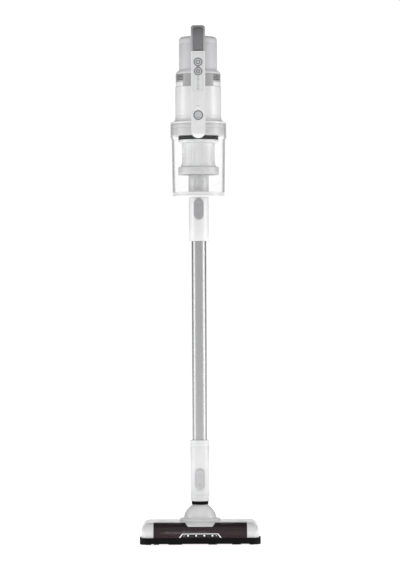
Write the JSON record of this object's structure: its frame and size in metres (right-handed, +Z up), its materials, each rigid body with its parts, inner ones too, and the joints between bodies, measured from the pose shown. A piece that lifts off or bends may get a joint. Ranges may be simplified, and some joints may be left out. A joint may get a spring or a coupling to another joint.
{
  "type": "cordless stick vacuum cleaner",
  "caption": "Cordless stick vacuum with in-line clear dust cup, motor and battery unit, looped handle, aluminium wand and swivelling powered floor head.",
  "frame": {"origin": "bottom centre of the whole object's box, on the floor under the upright vacuum", "axes": "+Z up along the wand, -Y towards the front where the window and handle face, +X to the right seen from the front"},
  "size_m": [0.2606, 0.1736, 1.118],
  "materials": {
    "white_shell": "satin moulded ABS",
    "battery_shell": "fine spark texture",
    "vent_grey": "satin",
    "grip_grey": "soft touch",
    "button_grey": "satin",
    "dark_inner": "moulded black",
    "black_rubber": "matt",
    "clear_cup": "clear polycarbonate",
    "smoked_window": "smoked polycarbonate",
    "light_lens": "frosted",
    "satin_tube": "anodised satin",
    "steel_parts": "machined",
    "brush_pile": "burgundy fleece and bristle",
    "filter_paper": "pleated filter paper",
    "circuit": "solder masked board"
  },
  "bodies": {
    "floor_head": {"head_base": "dark_inner", "head_cover": "white_shell", "swivel_socket": "white_shell", "brush_window": "smoked_window", "headlight_bar": "dark_inner", "headlight_lens": "light_lens", "front_bumper": "black_rubber", "brush_chamber": "dark_inner", "brush_bearing_left": "steel_parts", "brush_bearing_right": "steel_parts", "brush_motor": "satin_tube", "drive_belt": "black_rubber", "pitch_pin_left": "steel_parts", "pitch_pin_right": "steel_parts"},
    "brush_roll": {"brush_core": "dark_inner", "brush_fleece": "brush_pile"},
    "motor_pinion": {"motor_pulley": "steel_parts"},
    "release_slider": {"brush_release_slider": "button_grey"},
    "rear_wheel_left": {"rear_wheel_left": "black_rubber"},
    "rear_wheel_right": {"rear_wheel_right": "black_rubber"},
    "front_roller_left": {"front_roller_left": "button_grey"},
    "front_roller_right": {"front_roller_right": "button_grey"},
    "swivel": {"swivel_ring": "white_shell"},
    "neck": {"neck_ball": "white_shell", "neck_seal": "black_rubber", "neck_connector": "white_shell"},
    "wand": {"lower_sleeve": "white_shell", "wand_tube": "satin_tube", "wand_wire_duct": "dark_inner", "upper_sleeve": "white_shell"},
    "lower_button": {"lower_release_button": "button_grey"},
    "upper_button": {"upper_release_button": "button_grey"},
    "cup": {"cup_base": "clear_cup", "inlet_pipe": "white_shell", "dust_cup": "clear_cup"},
    "motor_unit": {"cyclone_skirt": "vent_grey", "cyclone_screen": "white_shell", "cyclone_plate": "white_shell", "filter_seal": "black_rubber", "filter_housing": "vent_grey", "pleated_filter": "filter_paper", "motor_housing": "white_shell", "suction_motor": "satin_tube", "motor_mount": "black_rubber", "vent_ring": "vent_grey", "top_collar": "white_shell", "handle_frame": "white_shell", "grip_cover": "grip_grey", "control_panel": "button_grey", "control_board": "circuit", "indicator_lens": "light_lens"},
    "rotor": {"impeller": "steel_parts"},
    "battery": {"battery_case": "battery_shell", "battery_floor": "dark_inner", "cell_pack": "satin_tube"},
    "latch": {"battery_latch": "dark_inner"},
    "power": {"power_button": "button_grey"},
    "mode": {"mode_button": "button_grey"},
    "cup_button": {"cup_release_button": "button_grey"}
  },
  "joints": [
    {"name": "head_tilt", "type": "hinge", "parent": "floor_head", "child": "swivel", "pos_m": [0, 0.0258, 0.048], "axis": [-1, 0, 0], "range_deg": [0, 80]},
    {"name": "neck_roll", "type": "hinge", "parent": "swivel", "child": "neck", "pos_m": [0, 0.0258, 0.048], "axis": [0, 1, 0], "range_deg": [-40, 40]},
    {"name": "brush_spin", "type": "hinge", "parent": "floor_head", "child": "brush_roll", "pos_m": [0, -0.0422, 0.0205], "axis": [1, 0, 0], "continuous": true},
    {"name": "pinion_spin", "type": "hinge", "parent": "floor_head", "child": "motor_pinion", "pos_m": [0, 0.0043, 0.0206], "axis": [1, 0, 0], "continuous": true},
    {"name": "brush_release", "type": "slide", "parent": "floor_head", "child": "release_slider", "axis": [1, 0, 0], "range_m": [0, 0.006]},
    {"name": "rear_wheel_left_roll", "type": "hinge", "parent": "floor_head", "child": "rear_wheel_left", "pos_m": [-0.095, 0.052, 0.0105], "axis": [1, 0, 0], "continuous": true},
    {"name": "rear_wheel_right_roll", "type": "hinge", "parent": "floor_head", "child": "rear_wheel_right", "pos_m": [0.095, 0.052, 0.0105], "axis": [1, 0, 0], "continuous": true},
    {"name": "front_roller_left_roll", "type": "hinge", "parent": "floor_head", "child": "front_roller_left", "pos_m": [-0.112, -0.0634, 0.005], "axis": [1, 0, 0], "continuous": true},
    {"name": "front_roller_right_roll", "type": "hinge", "parent": "floor_head", "child": "front_roller_right", "pos_m": [0.112, -0.0634, 0.005], "axis": [1, 0, 0], "continuous": true},
    {"name": "wand_release", "type": "slide", "parent": "neck", "child": "wand", "axis": [0, 0, 1], "range_m": [0, 0.06]},
    {"name": "lower_button_press", "type": "slide", "parent": "wand", "child": "lower_button", "axis": [0, 1, 0], "range_m": [0, 0.002], "stiffness_N_per_m": 900, "springref_m": -0.0006},
    {"name": "upper_button_press", "type": "slide", "parent": "wand", "child": "upper_button", "axis": [0, 1, 0], "range_m": [0, 0.002], "stiffness_N_per_m": 900, "springref_m": -0.0006},
    {"name": "handheld_release", "type": "slide", "parent": "wand", "child": "cup", "axis": [0, 0, 1], "range_m": [0, 0.06]},
    {"name": "cup_release", "type": "slide", "parent": "cup", "child": "motor_unit", "axis": [0, 0, 1], "range_m": [0, 0.15]},
    {"name": "impeller_spin", "type": "hinge", "parent": "motor_unit", "child": "rotor", "pos_m": [0, 0.0258, 0.932], "axis": [0, 0, 1], "continuous": true},
    {"name": "battery_release", "type": "slide", "parent": "motor_unit", "child": "battery", "axis": [0, 0, 1], "range_m": [0, 0.08]},
    {"name": "battery_latch_press", "type": "slide", "parent": "battery", "child": "latch", "axis": [0, 0, -1], "range_m": [0, 0.002], "stiffness_N_per_m": 600, "springref_m": -0.0004},
    {"name": "power_press", "type": "slide", "parent": "motor_unit", "child": "power", "axis": [0, 1, 0], "range_m": [0, 0.001], "stiffness_N_per_m": 600, "springref_m": -0.0004},
    {"name": "mode_press", "type": "slide", "parent": "motor_unit", "child": "mode", "axis": [0, 1, 0], "range_m": [0, 0.001], "stiffness_N_per_m": 600, "springref_m": -0.0004},
    {"name": "cup_button_press", "type": "slide", "parent": "motor_unit", "child": "cup_button", "axis": [0, 1, 0], "range_m": [0, 0.0028], "stiffness_N_per_m": 900, "springref_m": -0.0006}
  ],
  "couplings": [
    {"joint": "pinion_spin", "follows": "brush_spin", "ratio": 1.5455}
  ]
}
